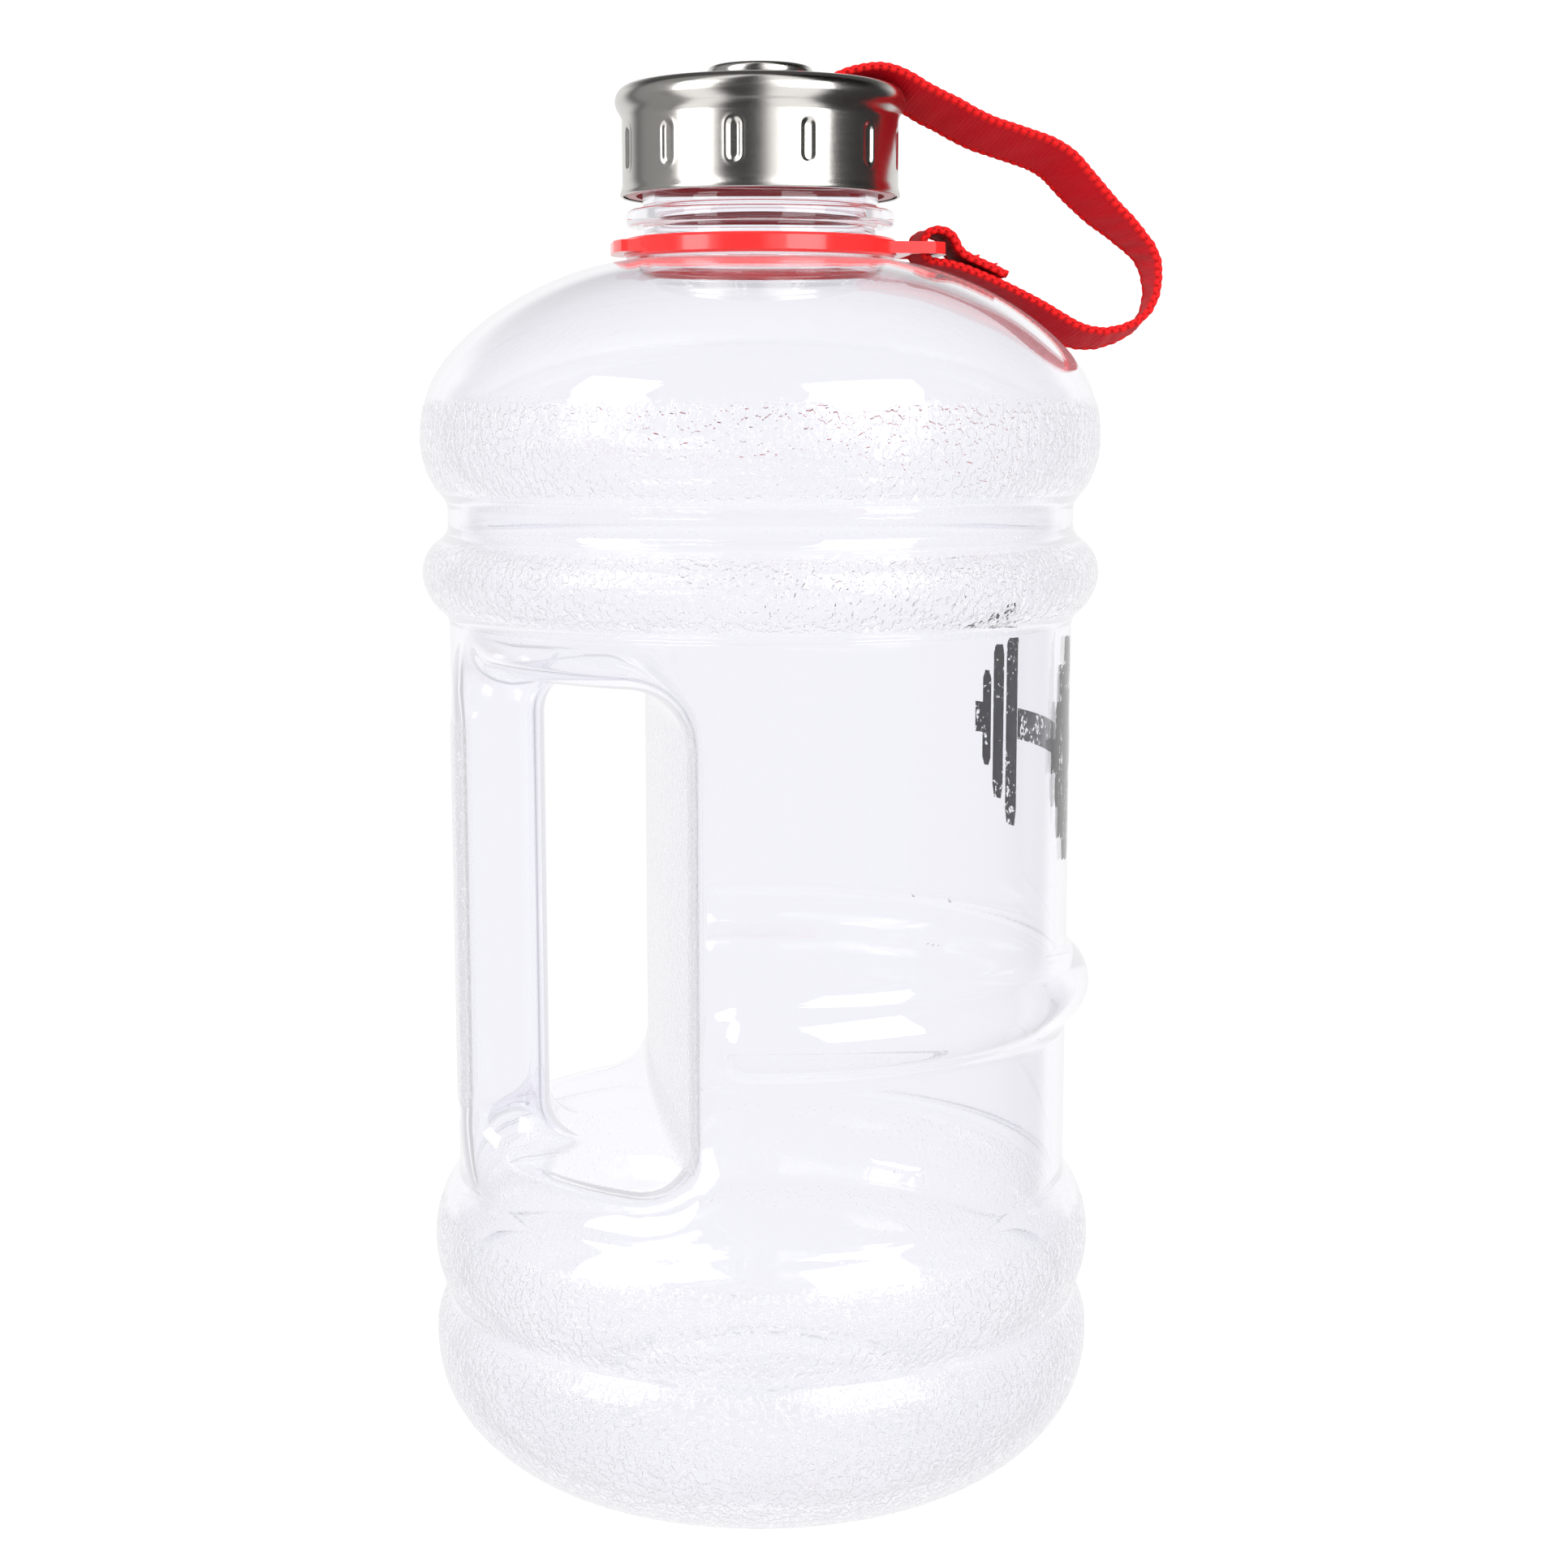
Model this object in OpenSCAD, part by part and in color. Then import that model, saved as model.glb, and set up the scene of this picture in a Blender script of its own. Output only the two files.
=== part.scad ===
// Large clear water jug with a steel screw cap and a woven strap.
// Origin: centre of the base on the ground, +Z up, handle on -X, strap on +X.

/* [Body] */
// Radius of the smooth body wall
body_r = 60.2; // [50:0.1:75]
// Radius at the crest of the raised bands
band_r = 65.2; // [55:0.1:80]
// Radius at the crest of the middle rib
rib_r = 64.7; // [60:0.1:70]
// Thickness of the moulded wall
wall = 1.8; // [1.2:0.1:3]
// Radius of the flat ring the jug stands on
foot_r = 50; // [40:0.5:55]
// Height of the raised middle of the base
punt_h = 9; // [4:0.5:14]
// Height of the top of the shoulder
shoulder_z = 233; // [220:0.5:250]

/* [Handle] */
// Height of the floor of the hand recess
recess_z0 = 64; // [58:0.5:75]
// Height of the ceiling of the hand recess
recess_z1 = 156; // [140:0.5:162]
// Distance from the axis to the middle of the recess wall
recess_x = 21.5; // [15:0.5:30]
// Radius of the outer edge of the recess
rim_r = 8; // [4:0.5:10]
// Depth of the grip column
grip_d = 17.7; // [14:0.1:22]
// Width of the grip column
grip_w = 28; // [20:0.5:34]
// Thickness of the raised grip pad
pad_t = 0.3; // [0.2:0.05:0.6]

/* [Neck] */
// Outer radius of the neck
neck_r = 22.4; // [20:0.1:26]
// Inner radius of the mouth
mouth_r = 20; // [17:0.1:23]
// Height of the rim of the mouth
neck_top = 260.5; // [255:0.1:265]
// Distance the cap rises in one turn
pitch = 4.5; // [3:0.25:6]
// Turns of thread on the neck
neck_turns = 2; // [1:0.25:2.25]
// Turns of thread inside the cap
cap_turns = 1.5; // [1:0.25:1.75]

/* [Cap] */
// Radius of the skirt of the steel shell
cap_r = 26.2; // [25:0.1:28]
// Radius of the bulge round the top of the shell
bulge_r = 27.5; // [26:0.1:29]
// Height of the lower edge of the shell
cap_z0 = 244.7; // [244:0.1:247]
// Thickness of the steel
steel_t = 0.5; // [0.4:0.1:0.8]
// Number of pressed grip slots
slots = 12; // [8:1:16]
// Depth of a grip slot
slot_d = 0.6; // [0.3:0.1:0.8]
// Radius of the button on the cap
button_r = 10; // [8:0.5:12]

/* [Collar and strap] */
// Outer radius of the collar ring
collar_r = 26; // [25:0.5:29]
// Thickness of the collar tabs
tab_t = 2.2; // [1.6:0.1:3]
// Width of the collar tabs
tab_w = 22; // [20:0.5:26]
// Width of the webbing
strap_w = 16; // [12:0.5:18]
// Thickness of the webbing
strap_t = 1.5; // [1:0.1:1.8]
// Sides of the webbing section
strap_sides = 8; // [8:4:12]

/* [Hidden] */

$fn = 96;
eps = 0.01;
groove_r = 62.2;
cap_top = 264.2;
plate_z = 262.2;
liner_z0 = 245;
collar_z0 = 233.4;
collar_z1 = 237;
wall_bow_r = 561;
bow_x = wall_bow_r - recess_x;
rim_c = body_r - rim_r + 0.15;
rim_x = (bow_x * bow_x + rim_c * rim_c - pow(wall_bow_r - rim_r, 2)) / (2 * bow_x);
rim_y = sqrt(rim_c * rim_c - rim_x * rim_x);
grip_x = body_r - grip_d;
bar_x0 = 32.3;
bar_x1 = 35;
slot_x0 = 28.1;
slot_y = 8.5;
strap_z = 265.35;

// Centre line of the webbing in X and Z: cap end first, then the hanging loop, the turn round
// the bar of the collar, and the tail sewn down on top.
strap_path = [
    [-8.5, strap_z], [-6, strap_z], [-3, strap_z], [0, strap_z], [3, strap_z], [6, strap_z],
    [10, 265.45], [12.5, 266.2], [15.5, 267.4], [18.5, 268.1], [21.5, 268.4], [23.7, 268.1],
    [25.8, 267.4], [28.2, 266.2], [30.5, 264.8], [33.5, 263.3], [36.4, 262], [40, 260.1],
    [43.4, 258.6], [47.3, 257.4], [51.2, 256.2], [55, 254.9], [58, 253.2], [60, 251.5],
    [61.7, 249.6], [64.5, 246.6], [67.5, 243.4], [70.5, 240.6], [73, 237.8], [74.6, 235.9],
    [75.6, 234], [76.1, 232.2], [76.2, 230.5], [76.2, 228.5], [75.8, 226.5], [75.1, 224.6],
    [74, 223], [72.4, 221.6], [70.3, 220.6], [68, 219.9], [65.4, 219.6], [63.3, 219.8],
    [61.4, 220.3], [59.4, 221.2], [57.3, 222.4], [53.5, 224.7], [49.1, 227], [45.1, 228.9],
    [41.5, 230.4], [38.3, 231.6], [36.2, 232.2], [34.2, 232.6], [32.4, 232.8], [31.1, 233.3],
    [30.4, 234.4], [30.3, 235.6], [30.4, 236.8], [31, 237.9], [32.1, 238.6], [33.6, 238.7],
    [35.2, 238.2], [36.4, 237], [37, 235.6], [37.9, 234.5], [39.2, 233.7], [41.5, 232.7],
    [44, 231.6], [46.5, 230.4]
];

// ---------------------------------------------------------------- helpers

function arc(cx, cy, r, a0, a1, n) =
    [for (i = [0:n]) [cx + r * cos(a0 + (a1 - a0) * i / n), cy + r * sin(a0 + (a1 - a0) * i / n)]];

function unit(v) = v / norm(v);

// Direction across a path at point i, to the left of the way it runs.
function across(p, i) =
    let (a = p[max(i - 1, 0)], b = p[min(i + 1, len(p) - 1)], t = unit(b - a)) [-t[1], t[0]];

function shifted(p, d) = [for (i = [0:len(p) - 1]) p[i] + d * across(p, i)];

function flipped(p) = [for (i = [len(p) - 1:-1:0]) [p[i][0], -p[i][1]]];

function backwards(p) = [for (i = [len(p) - 1:-1:0]) p[i]];

function turn(r0, z0, r1, z1, e, u) = [r0 + (r1 - r0) * pow(1 - u * u, e), z1 + (z0 - z1) * u];

// One side of a raised band, from its edge r0, z0 up to the crest r1, z1.
function rise(r0, z0, r1, z1, e, n) = [for (i = [0:n]) turn(r0, z0, r1, z1, e, cos(90 * i / n))];

// The other side, from just past the crest to its edge.
function fall(r0, z0, r1, z1, e, n) =
    [for (i = [n - 1:-1:0]) turn(r0, z0, r1, z1, e, cos(90 * i / n))];

// ---------------------------------------------------------------- body outline

punt = [[0, punt_h], [12, punt_h - 0.4], [22, punt_h - 1.3], [30, punt_h - 2.9],
        [36, punt_h - 5], [40, punt_h - 7], [43, 0.6], [45, 0]];
heel = [for (i = [0:10])
    let (u = 1 - i / 10)
    [foot_r + (band_r - foot_r) * pow(1 - pow(u, 2.5), 0.9), 24.5 * (1 - u)]];
low_bands = concat(
    fall(groove_r, 32.2, band_r, 24.5, 1, 5),
    [for (p = rise(groove_r, 32.2, band_r, 43.1, 1, 6)) if (p[1] > 32.3) p],
    fall(body_r, 55.7, band_r, 43.1, 0.8, 8));
rib = concat(rise(body_r, 87.6, rib_r, 94.5, 0.6, 7), fall(body_r, 101.4, rib_r, 94.5, 0.6, 7));
high_bands = concat(
    rise(body_r, 165.9, band_r, 174.5, 0.8, 7),
    fall(body_r, 181.5, band_r, 174.5, 0.8, 7),
    rise(body_r, 187.8, band_r, 199.6, 0.8, 8),
    [[band_r - 0.25, 203], [band_r - 0.8, 206.2], [band_r - 1.2, 206.3]]);
shoulder = [for (i = [1:14])
    let (t = 1 - pow(1 - i / 14.6, 1.7))
    [24 + (band_r - 25.2) * pow(1 - pow(t, 1.6), 0.63), 206.3 + (shoulder_z - 206.3) * t]];
shell_line = concat(punt, heel, low_bands, rib, high_bands, shoulder);
inner_line = shifted(shell_line, wall);

outer_outline = concat(shell_line, [
    [24, shoulder_z - 0.05], [22.8, shoulder_z + 0.1], [22.2, shoulder_z + 0.7],
    [22.2, 239.2], [25.2, 239.2], [25.5, 239.6], [25.5, 241.9], [25.2, 242.2], [24.6, 242.3],
    [neck_r, 243.6], [neck_r, neck_top - 0.6], [neck_r - 0.6, neck_top], [0, neck_top]]);
inner_outline = concat([[0, punt_h + wall]], [for (p = inner_line) if (p[0] > 2) p], [
    [22, shoulder_z - 1.9], [20.6, shoulder_z - 1.2], [mouth_r, shoulder_z + 0.4],
    [mouth_r, neck_top + 1], [0, neck_top + 1]]);

// ---------------------------------------------------------------- recess and grip

// Plan of the hand recess, grown by g.
function recess_side(g) =
    let (a = atan2(rim_y, rim_x - bow_x), b = atan2(rim_y, rim_x),
         bend = arc(rim_x, rim_y, rim_r - g, a, b - 4, 7), far = rim_r - g + 9)
    concat(arc(bow_x, 0, wall_bow_r - g, 180, a, 6), bend,
           [[rim_x + far * cos(b - 25), rim_y + far * sin(b - 25)]]);

module recess_plan(g) {
    side = recess_side(g);
    polygon(concat([[-95, 0], [-95, -80]], flipped(side), side, [[-95, 80]]));
}

// Side view of the recess, grown by g: its floor and ceiling turn over the rim.
module recess_sweep(g) {
    low = arc(rim_c, recess_z0 - rim_r, rim_r - g, 90, 6, 6);
    high = arc(rim_c, recess_z1 + rim_r, rim_r - g, -6, -90, 6);
    rotate_extrude()
        polygon(concat([[0, recess_z0 - g]], low, [[95, low[6][1] - 1], [95, high[0][1] + 1]],
                       high, [[0, recess_z1 + g]]));
}

// Plan of the grip column, shrunk by g.
function grip_side(g) =
    concat(arc(-grip_x - 6, grip_w / 2 - 6, 6 - g, 0, 90, 5),
           arc(-grip_x - grip_d + 7, grip_w / 2 - 6, 6 - g, 90, 150, 3));

module grip_plan(g) {
    side = grip_side(g);
    polygon(concat(side, [[-80, grip_w / 2 - 6]], [[-80, 6 - grip_w / 2]], flipped(side)));
}

// The hollow of the hand fills out where the grip meets the floor and the ceiling.
module grip_flare(g, z, s) {
    span = grip_w - 12;
    curve = arc(-grip_x + 7, 7, 7 + g, 180, 270, 5);
    translate([0, -span / 2 + g, z])
        mirror([0, 0, s])
            rotate([90, 0, 0])
                mirror([0, 0, 1])
                    linear_extrude(height = span - 2 * g)
                        polygon(concat([[-grip_x - 6, -12]], [[-grip_x - 6, 7]], curve, [[-grip_x + 7, -12]]));
}

module grip(g) {
    translate([0, 0, recess_z0 - 14])
        linear_extrude(height = recess_z1 - recess_z0 + 28)
            grip_plan(g);
    grip_flare(g, recess_z0, 0);
    grip_flare(g, recess_z1, 1);
}

module recess(g) {
    difference() {
        intersection() {
            translate([0, 0, recess_z0 - 12])
                linear_extrude(height = recess_z1 - recess_z0 + 24)
                    recess_plan(g);
            recess_sweep(g);
        }
        grip(g);
    }
    // The rib stops at the recess, so it is pared off the outside of the grip.
    rotate([0, 0, 115])
        rotate_extrude(angle = 130)
            translate([body_r - g + 0.03, 87.1])
                square([10, 14.8]);
}

// A screw thread as one swept ridge: root radius, crest radius, half widths, turns.
module thread(root, crest, w_root, w_crest, turns, z0, a0) {
    n = round(turns * 36);
    rings = [for (i = [0:n])
        let (a = a0 + i * 360 * turns / n, z = z0 + pitch * turns * i / n,
             k = min(1, (i + 0.5) / 3, (n - i + 0.5) / 3), c = root + (crest - root) * k)
        [[root * cos(a), root * sin(a), z - w_root], [c * cos(a), c * sin(a), z - w_crest],
         [c * cos(a), c * sin(a), z + w_crest], [root * cos(a), root * sin(a), z + w_root]]];
    pts = [for (r = rings) for (p = r) p];
    sides = [for (i = [0:n - 1]) for (j = [0:3])
        let (k = (j + 1) % 4) [4 * i + j, 4 * i + k, 4 * i + 4 + k, 4 * i + 4 + j]];
    tri = [for (q = sides) each [[q[0], q[1], q[2]], [q[0], q[2], q[3]]]];
    ends = [[3, 2, 1], [3, 1, 0], [4 * n, 4 * n + 1, 4 * n + 2], [4 * n, 4 * n + 2, 4 * n + 3]];
    all = concat(tri, ends);
    polyhedron(points = pts, faces = root > crest ? [for (f = all) [f[2], f[1], f[0]]] : all);
}

// ---------------------------------------------------------------- bottle

module jug_body() {
    color([0.93, 0.94, 0.97])
    difference() {
        union() {
            difference() {
                rotate_extrude()
                    polygon(outer_outline);
                recess(0);
            }
            thread(neck_r - 0.2, neck_r + 1, 1.15, 0.45, neck_turns, 247.5, 0);
        }
        difference() {
            rotate_extrude()
                polygon(inner_outline);
            recess(wall);
        }
    }
}

// Textured pad moulded onto the outside of the grip.
module grip_pad() {
    color([0.86, 0.87, 0.9])
    translate([0, 0, 72])
        linear_extrude(height = 73)
            polygon(concat(arc(0, 0, body_r + 0.05, 190, 170, 8),
                           arc(0, 0, body_r + pad_t, 170, 190, 8)));
}

module collar_ring() {
    mid = (collar_z0 + collar_z1) / 2;
    color([0.95, 0.1, 0.1])
    difference() {
        union() {
            rotate_extrude()
                polygon([[22.8, collar_z0], [collar_r - 0.5, collar_z0], [collar_r, collar_z0 + 0.5],
                         [collar_r, collar_z1 - 0.5], [collar_r - 0.5, collar_z1], [22.2, collar_z1],
                         [22.2, collar_z0 + 0.6]]);
            intersection() {
                translate([-28.3, -tab_w / 2, mid - tab_t / 2])
                    cube([66, tab_w, tab_t]);
                translate([3.35, 0, mid - tab_t])
                    cylinder(r = 31.65 + 0.4, h = 2 * tab_t, $fn = 128);
                translate([-3, 0, mid - tab_t])
                    linear_extrude(height = 2 * tab_t)
                        polygon([[-26, -8], [-23, -11], [35, -11], [38, -8], [38, 8], [35, 11],
                                 [-23, 11], [-26, 8]]);
            }
        }
        translate([0, 0, collar_z0 - 1])
            cylinder(r = 22.2, h = 6, $fn = 128);
        translate([slot_x0, -slot_y, collar_z0 - 1])
            cube([bar_x0 - slot_x0, 2 * slot_y, 6]);
    }
}

// ---------------------------------------------------------------- strap

module webbing() {
    n = len(strap_path);
    w = strap_w / 2;
    t = strap_t / 2;
    section = [[-w, -t + 0.35], [-w + 0.5, -t], [w - 0.5, -t], [w, -t + 0.35],
               [w, t - 0.35], [w - 0.5, t], [-w + 0.5, t], [-w, t - 0.35]];
    m = len(section);
    pts = [for (i = [0:n - 1]) let (d = across(strap_path, i)) for (s = section)
        [strap_path[i][0] + s[1] * d[0], s[0], strap_path[i][1] + s[1] * d[1]]];
    body = [for (i = [0:n - 2]) for (j = [0:m - 1]) let (k = (j + 1) % m, a = m * i, b = m * i + m)
        each [[a + j, b + k, a + k], [a + j, b + j, b + k]]];
    front = [for (j = [1:m - 2]) [0, j, j + 1]];
    back = [for (j = [1:m - 2]) let (a = m * (n - 1)) [a, a + j + 1, a + j]];
    polyhedron(points = pts, faces = concat(body, front, back));
}

module strap() {
    color([0.85, 0.08, 0.1])
    difference() {
        webbing();
        translate([0, 0, strap_z - 2])
            cylinder(r = 4, h = 4, $fn = 48);
    }
}

// Two rows of thread across the tail, standing a little proud of it.
module strap_stitching() {
    color([0.95, 0.25, 0.25])
    for (row = [41, 44.5], k = [-5:5])
        translate([row, k * 1.3, 233.995 - (row - 41) * 0.44])
            rotate([90, 0, 0])
                cylinder(r = 0.22, h = 0.9, center = true, $fn = 24);
}

module strap_eyelet() {
    color([0.72, 0.72, 0.74])
    rotate_extrude()
        polygon([[3.3, cap_top], [6.2, cap_top], [6.5, cap_top + 0.2], [6.3, 264.6], [4, 264.6],
                 [4, 266.1], [6.3, 266.1], [6.5, 266.2], [6.2, 266.3], [3.3, 266.3]]);
}

// ---------------------------------------------------------------- cap

shell_outline = concat(
    [[cap_r + 0.3, cap_z0], [cap_r + 0.45, cap_z0 + 0.4], [cap_r + 0.2, cap_z0 + 1.1],
     [cap_r, cap_z0 + 1.8], [cap_r, 258.8], [cap_r + 0.5, 259.9], [cap_r + 1, 260.8]],
    arc(bulge_r - 3, 262.3, 3, 0, 75, 6),
    [[24.2, 265.4], [23.2, 265.4], [22.5, 265], [21.9, 264.4], [21.3, cap_top], [0, cap_top]]);

module slot_shape(r0, r1, w0, w1) {
    mid = 253.2;
    reach = 4.4 - 1.85;
    h = r1 - r0;
    for (s = [-1, 1])
        translate([r0, 0, mid + s * reach])
            rotate([0, 90, 0])
                cylinder(r1 = w0, r2 = w1, h = h, $fn = 32);
    translate([0, 0, mid - reach])
        linear_extrude(height = 2 * reach)
            polygon([[r0, -w0], [r1, -w1], [r1, w1], [r0, w0]]);
}

module cap_shell() {
    lining = shifted(shell_outline, steel_t);
    drop = [for (p = lining) if (p[0] > 0.1) p];
    color([0.76, 0.75, 0.73])
    difference() {
        union() {
            rotate_extrude()
                polygon(concat(shell_outline, [[0, cap_top - steel_t]], backwards(drop)));
            for (i = [0:slots - 1])
                rotate([0, 0, 360 / slots * i + 13])
                    slot_shape(cap_r - slot_d - steel_t, cap_r - 0.1, 1.45, 2.3);
        }
        for (i = [0:slots - 1])
            rotate([0, 0, 360 / slots * i + 13])
                slot_shape(cap_r - slot_d, cap_r + 0.6, 0.95, 2.1);
        translate([0, 0, cap_top - 2])
            cylinder(r = 3, h = 4, $fn = 48);
    }
}

module cap_liner() {
    color([0.72, 0.06, 0.08])
    difference() {
        union() {
            difference() {
                rotate_extrude()
                    polygon([[0, liner_z0], [25.4, liner_z0], [25.7, liner_z0 + 0.4], [25.4, 246.4],
                             [24.95, 247], [24.95, 259.2], [25.6, 259.9], [25.6, 261.4],
                             [25.2, 262.9], [24, 263.7], [0, 263.7]]);
                translate([0, 0, liner_z0 - 1])
                    cylinder(r = neck_r + 1.2, h = plate_z - liner_z0 + 1);
            }
            thread(neck_r + 1.4, neck_r + 0.25, 1.05, 0.45, cap_turns, 247.5 + pitch * 0.5 + 0.6, 48);
        }
        translate([0, 0, 260])
            cylinder(r = 3, h = 6, $fn = 48);
    }
}

module cap_gasket() {
    color([0.93, 0.93, 0.9])
    rotate_extrude()
        polygon([[19, 260.9], [19.4, neck_top], [22.6, neck_top], [23.2, 260.9], [23.2, plate_z],
                 [19, plate_z]]);
}

module cap_button() {
    color([0.78, 0.77, 0.75])
    rotate_extrude()
        polygon(concat(
            [[0, 260.6], [3, 260.6], [3, 266.4], [button_r - 0.5, 266.4], [button_r, 266.8]],
            arc(button_r - 1, 268, 1, 0, 60, 3),
            [[button_r - 1.6, 269.1], [6, 269.3], [0, 269.4]]));
}

module cap_washer() {
    color([0.7, 0.7, 0.72])
    rotate_extrude()
        polygon([[3, 261.4], [6.7, 261.4], [7, 261.7], [7, plate_z], [3, plate_z]]);
}

jug_body();
grip_pad();
collar_ring();
strap();
strap_stitching();
strap_eyelet();
cap_shell();
cap_liner();
cap_gasket();
cap_button();
cap_washer();
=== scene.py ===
import bpy
import math
import numpy as np
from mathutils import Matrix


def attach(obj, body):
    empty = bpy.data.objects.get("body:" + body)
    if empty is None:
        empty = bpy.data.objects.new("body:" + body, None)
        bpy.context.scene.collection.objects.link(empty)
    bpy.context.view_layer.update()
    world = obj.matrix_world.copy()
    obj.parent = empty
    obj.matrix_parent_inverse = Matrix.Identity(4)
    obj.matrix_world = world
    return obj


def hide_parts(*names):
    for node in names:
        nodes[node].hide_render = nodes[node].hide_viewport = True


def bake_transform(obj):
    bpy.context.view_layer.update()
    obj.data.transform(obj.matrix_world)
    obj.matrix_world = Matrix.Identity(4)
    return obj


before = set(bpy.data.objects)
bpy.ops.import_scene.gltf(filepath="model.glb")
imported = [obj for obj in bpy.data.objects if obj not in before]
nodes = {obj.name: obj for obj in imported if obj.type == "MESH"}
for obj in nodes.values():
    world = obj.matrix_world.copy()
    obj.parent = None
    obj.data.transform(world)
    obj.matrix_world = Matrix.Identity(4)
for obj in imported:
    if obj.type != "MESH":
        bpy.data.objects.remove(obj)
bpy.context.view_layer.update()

# ------------------------------------------------------------------ sizes, in millimetres
# The main sizes are the CAD's, but there the wall is 1.8, the mouth 20 and the webbing 1.5 thick.
# The rib's section and the grip's corners are this mesh's own.
BODY_R, BAND_R, GROOVE_R, FOOT_R, PUNT_H, SHOULDER_Z = 60.2, 65.2, 62.2, 50.0, 9.0, 233.0
WALL = 2.0
# Middle rib: height, radius of its centre line, radius of its section, angle from +X to each end
RIB_Z, RIB_MID_R, RIB_THICK, RIB_END = 94.5, 58.0, 6.7, math.radians(98.5)
# Hand recess: floor, ceiling, middle of its wall, radius of its edge, radius of the wall's bow
RECESS_Z0, RECESS_Z1, RECESS_X, RIM_R, BOW_R = 64.0, 156.0, 21.5, 8.0, 561.0
RECESS_MID = (RECESS_Z0 + RECESS_Z1) / 2
GRIP_D, GRIP_W, GRIP_CORNER = 17.7, 28.0, 7.0
NECK_R, MOUTH_R, PITCH = 22.4, 20.2, 4.5
CAP_R, STEEL_T = 26.2, 0.5
# Grip slots: how many, depth, angle of the first, height of the middle, half their straight length
SLOTS, SLOT_D, SLOT_TURN, SLOT_Z, SLOT_REACH = 12, 0.6, 13, 253.2, 2.55
STRAP_W, STRAP_T, STRAP_Z, STRAP_BEAD = 16.0, 1.3, 265.35, 1.62
MARK_Z = 141
# Which way the camera is from the jug, in degrees from +X
CAMERA_SIDE = -96.5


# ------------------------------------------------------------------ mesh helpers
def new_mesh(name, verts_mm, faces):
    me = bpy.data.meshes.new(name)
    me.from_pydata((np.asarray(verts_mm, float) * 0.001).tolist(), [], [list(map(int, f)) for f in faces])
    me.polygons.foreach_set("use_smooth", [True] * len(me.polygons))
    me.update()
    ob = bpy.data.objects.new(name, me)
    bpy.context.scene.collection.objects.link(ob)
    return ob


def grid_faces(rows, cols, start=0, wrap=False):
    out = []
    last = cols if wrap else cols - 1
    for i in range(rows - 1):
        for j in range(last):
            a = start + i * cols + j
            b = start + i * cols + (j + 1) % cols
            out.append((a, b, b + cols, a + cols))
    return out


def point_attribute(ob, name, values):
    at = ob.data.attributes.new(name, "FLOAT", "POINT")
    at.data.foreach_set("value", np.asarray(values, np.float32))


def path_length(points):
    """How far along the path each of its points is."""
    return np.concatenate([[0], np.cumsum(np.linalg.norm(np.diff(points, axis=0), axis=1))])


def ring_points(radius, z, turn):
    """Points round the Z axis at the angles in turn, in radians."""
    return np.stack([radius * np.cos(turn), radius * np.sin(turn), np.full(len(turn), float(z))], 1)


def ring_uv(length, n):
    """UVs for rings of n points: once round from 0 to 1, and the length in millimetres / 100."""
    return np.stack([np.tile(np.arange(n) / n, len(length)), np.repeat(length / 100, n)], 1)


def lay_uv(ob, uv, closed=False):
    """Gives the mesh one UV a vertex. closed: the quads across the seam run on past u = 1."""
    layer = ob.data.uv_layers.new(name="UVMap")
    corners = np.zeros(len(ob.data.loops), np.int32)
    ob.data.loops.foreach_get("vertex_index", corners)
    uv = uv[corners]
    if closed:
        u = uv.reshape(-1, 4, 2)[:, :, 0]
        seam = (u.max(1) - u.min(1)) > 0.5
        u[seam] = np.where(u[seam] < 0.5, u[seam] + 1, u[seam])
    layer.data.foreach_set("uv", uv.astype(np.float32).ravel())


def smoothstep(a, b, x):
    t = np.clip((x - a) / (b - a), 0, 1)
    return t * t * (3 - 2 * t)


def wobble(a, b, seed):
    """A repeatable rough pattern of two coordinates, about -1 to 1, from crossing waves."""
    total = 0
    for i in range(7):
        k = 1.0 + 0.23 * i
        ang = 2.399 * i + seed
        total = total + np.sin(k * (a * math.cos(ang) + b * math.sin(ang)) + 1.7 * i * i + seed)
    return total / 3.2


# ------------------------------------------------------------------ the outline of the jug
def swell(r0, z0, r1, z1, e, n, back=False):
    """One side of a raised band, from its edge r0, z0 to its crest r1, z1, or the other way round."""
    pts = []
    for i in range(n + 1):
        u = math.cos(math.pi / 2 * i / n)
        pts.append((r1 + (r0 - r1) * (1 - (1 - u * u) ** e), z1 + (z0 - z1) * u))
    return pts[::-1] if back else pts


def jug_outline():
    pts = [(0, PUNT_H), (12, PUNT_H - 0.4), (22, PUNT_H - 1.3), (30, PUNT_H - 2.9), (36, PUNT_H - 5),
           (40, PUNT_H - 7), (43, 0.6), (45, 0)]
    for i in range(25):
        u = 1 - i / 24
        pts.append((FOOT_R + (BAND_R - FOOT_R) * (1 - u ** 2.5) ** 0.9, 24.5 * (1 - u)))
    pts += swell(GROOVE_R, 32.2, BAND_R, 24.5, 1, 12, True)[1:]
    pts += swell(GROOVE_R, 32.2, BAND_R, 43.1, 1, 14)[1:]
    pts += swell(BODY_R, 55.7, BAND_R, 43.1, 0.8, 20, True)[1:]
    pts += swell(BODY_R, 165.9, BAND_R, 174.5, 0.8, 18)
    pts += swell(BODY_R, 181.5, BAND_R, 174.5, 0.8, 18, True)[1:]
    pts += swell(BODY_R, 187.8, BAND_R, 199.6, 0.8, 20)
    pts += [(BAND_R - 0.25, 203), (BAND_R - 0.7, 206.2), (BAND_R - 1.2, 206.5)]
    for i in range(1, 40):
        t = 1 - (1 - i / 40) ** 1.7
        pts.append((24 + (BAND_R - 25.2) * (1 - t ** 1.6) ** 0.63, 206.3 + (SHOULDER_Z - 206.3) * t))
    pts += [(23.2, SHOULDER_Z + 0.05), (22.2, SHOULDER_Z + 0.7), (22.2, 300), (0, 300)]
    return np.array(pts)


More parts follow.
